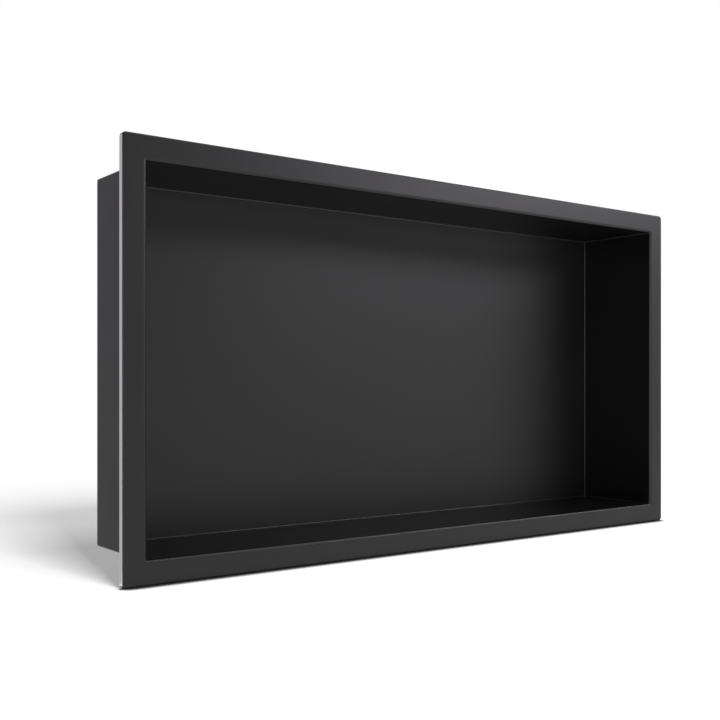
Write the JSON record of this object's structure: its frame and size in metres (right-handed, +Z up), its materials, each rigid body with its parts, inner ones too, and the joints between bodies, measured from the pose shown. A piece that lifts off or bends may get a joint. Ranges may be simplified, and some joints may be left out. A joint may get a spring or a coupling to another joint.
{
  "type": "shower niche insert",
  "caption": "Open rectangular tray of satin black sheet steel with a flange round its mouth, set into a wall recess as a shower shelf.",
  "frame": {"origin": "middle of the plane where the rear edge of the flange's lip meets the wall", "axes": "+X to the right and +Z up as one looks into the niche, +Y into the wall"},
  "size_m": [0.64, 0.095, 0.34],
  "materials": {
    "black_coating": "satin"
  },
  "bodies": {
    "root": {"niche_insert": "black_coating"}
  },
  "joints": []
}
